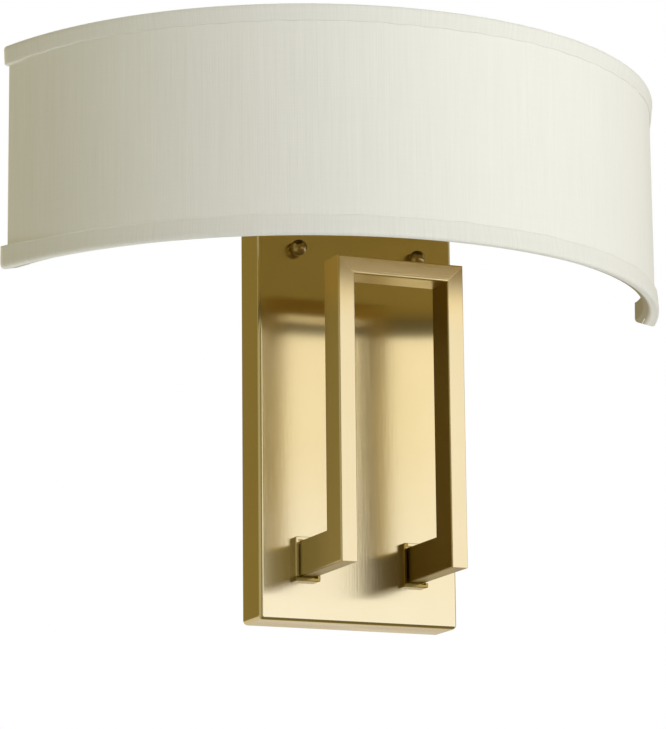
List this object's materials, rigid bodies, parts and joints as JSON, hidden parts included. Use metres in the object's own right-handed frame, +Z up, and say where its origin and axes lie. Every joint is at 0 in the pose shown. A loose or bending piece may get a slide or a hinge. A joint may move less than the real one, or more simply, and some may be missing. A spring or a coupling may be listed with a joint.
{
  "type": "wall light",
  "caption": "Wall light with a half-round linen drum shade on a shallow brass pan and an inverted U of flat tube on two returns.",
  "frame": {"origin": "on the wall's surface, at the centre of the outlet box", "axes": "+X to the right seen from the front, +Y into the wall, +Z up"},
  "size_m": [0.3862, 0.141, 0.3052],
  "materials": {
    "satin_brass": "satin, lacquered",
    "linen": "plain weave with slubs",
    "linen_trim": "plain weave, folded over the edge",
    "white_liner": "satin",
    "white_paint": "satin",
    "zinc": "plated",
    "green_screw": "dyed zinc",
    "thumb_brass": "turned",
    "black_moulding": "moulded",
    "plain_brass": "stamped",
    "cap_metal": "rolled",
    "frosted_glass": "frosted inside",
    "black_lead_cover": "smooth",
    "white_lead_cover": "smooth",
    "bare_copper": "drawn",
    "connector_cap": "moulded"
  },
  "bodies": {
    "fixture": {"back_plate": "satin_brass", "u_frame": "satin_brass", "frame_collars": "satin_brass", "shade_fabric": "linen", "top_trim": "linen_trim", "bottom_trim": "linen_trim", "shade_liner": "white_liner", "top_wire": "white_paint", "bottom_wire": "white_paint", "left_end_wire": "white_paint", "right_end_wire": "white_paint", "left_shade_bracket": "white_paint", "right_shade_bracket": "white_paint", "carrier_strap": "white_paint", "mounting_bar": "zinc", "mounting_studs": "zinc", "stud_nuts": "zinc", "frame_screws": "zinc", "strap_screws": "zinc", "strap_nuts": "zinc", "bracket_screws": "zinc", "bracket_nuts": "zinc", "rivet_nuts": "zinc", "tube_plugs": "zinc", "lamp_bracket": "zinc", "holder_nuts": "zinc", "holder_nipples": "zinc", "earth_screw": "green_screw", "left_lamp_holder": "black_moulding", "right_lamp_holder": "black_moulding", "cable_bush": "black_moulding", "left_screw_shell": "plain_brass", "right_screw_shell": "plain_brass", "left_contact": "plain_brass", "right_contact": "plain_brass", "black_leads": "black_lead_cover", "white_leads": "white_lead_cover", "earth_lead": "bare_copper", "wire_connectors": "connector_cap"},
    "left_ball_nut": {"left_ball_nut": "satin_brass"},
    "right_ball_nut": {"right_ball_nut": "satin_brass"},
    "left_thumb_screw": {"left_thumb_screw": "thumb_brass"},
    "right_thumb_screw": {"right_thumb_screw": "thumb_brass"},
    "left_bulb": {"left_bulb": "frosted_glass", "left_bulb_cap": "cap_metal"},
    "right_bulb": {"right_bulb": "frosted_glass", "right_bulb_cap": "cap_metal"}
  },
  "joints": [
    {"name": "left_ball_nut_turn", "type": "hinge", "parent": "fixture", "child": "left_ball_nut", "pos_m": [-0.03492, -0.0276, 0], "axis": [0, 1, 0], "continuous": true},
    {"name": "left_thumb_screw_turn", "type": "hinge", "parent": "fixture", "child": "left_thumb_screw", "pos_m": [-0.16197, -0.0306, 0.0805], "axis": [0, 1, 0], "continuous": true},
    {"name": "left_bulb_turn", "type": "hinge", "parent": "fixture", "child": "left_bulb", "pos_m": [-0.08, -0.045, 0.038], "axis": [-1, 0, 0], "continuous": true},
    {"name": "right_ball_nut_turn", "type": "hinge", "parent": "fixture", "child": "right_ball_nut", "pos_m": [0.03492, -0.0276, 0], "axis": [0, 1, 0], "continuous": true},
    {"name": "right_thumb_screw_turn", "type": "hinge", "parent": "fixture", "child": "right_thumb_screw", "pos_m": [0.16197, -0.0306, 0.0805], "axis": [0, 1, 0], "continuous": true},
    {"name": "right_bulb_turn", "type": "hinge", "parent": "fixture", "child": "right_bulb", "pos_m": [0.08, -0.045, 0.038], "axis": [1, 0, 0], "continuous": true}
  ]
}
